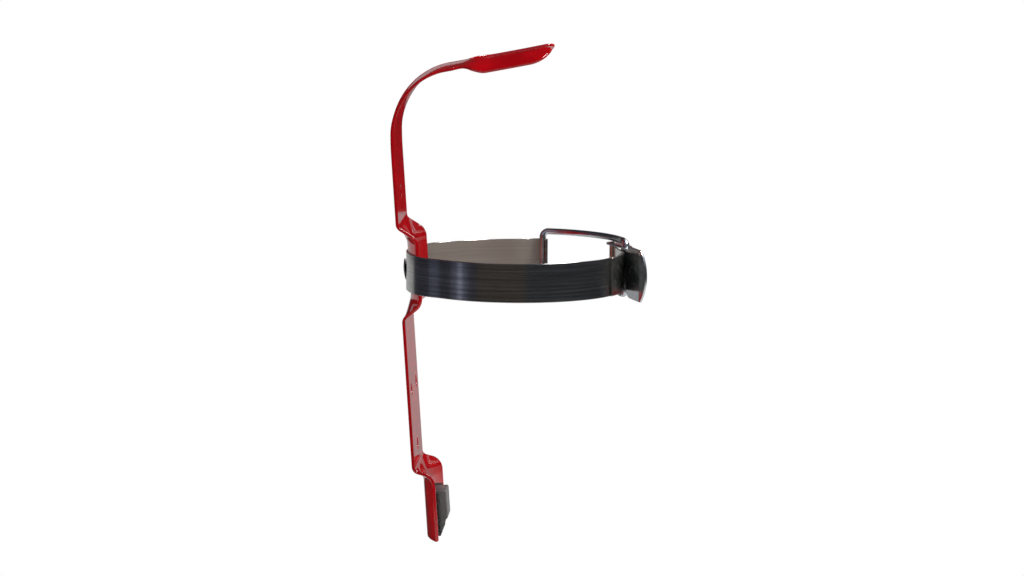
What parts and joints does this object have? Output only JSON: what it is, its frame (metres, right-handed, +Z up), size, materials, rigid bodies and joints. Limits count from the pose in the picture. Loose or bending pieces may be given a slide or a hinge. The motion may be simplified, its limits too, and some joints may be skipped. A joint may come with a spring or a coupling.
{
  "type": "fire extinguisher bracket",
  "caption": "Wall bracket of folded steel strip with a neck fork, a seat, a latched hoop strap and a foot rest that holds an upright cylinder.",
  "frame": {"origin": "middle of the pair of screw holes, on the wall plane", "axes": "+X across the strip, +Y into the wall, -Y to the front, +Z up"},
  "size_m": [0.113, 0.1278, 0.2534],
  "materials": {
    "red_paint": "glossy red paint",
    "stainless_strap": "polished with fine lines",
    "rivet_steel": "bright",
    "stainless_plate": "polished",
    "zinc_lever": "bright plated",
    "pin_steel": "bright",
    "zinc_wire": "bright plated",
    "grey_plastic": "matt moulded",
    "black_foam": "open rough foam"
  },
  "bodies": {
    "bracket": {"back_plate": "red_paint", "clamp_band": "stainless_strap", "band_rivet": "rivet_steel", "latch_base": "stainless_plate", "rest_block": "grey_plastic", "foam_pad": "black_foam"},
    "latch_lever": {"lever": "zinc_lever", "lever_pin": "pin_steel"},
    "wire_bail": {"bail": "zinc_wire"}
  },
  "joints": [
    {"name": "lever_hinge", "type": "hinge", "parent": "bracket", "child": "latch_lever", "pos_m": [0.0311, -0.10877, 0.05415], "axis": [0, -0.0671, 0.9977], "range_deg": [0, 165]},
    {"name": "bail_pivot", "type": "hinge", "parent": "latch_lever", "child": "wire_bail", "pos_m": [0.01454, -0.11611, 0.05366], "axis": [0, -0.0671, 0.9977], "range_deg": [-165, 0]}
  ],
  "couplings": [
    {"joint": "bail_pivot", "follows": "lever_hinge", "ratio": -1}
  ]
}
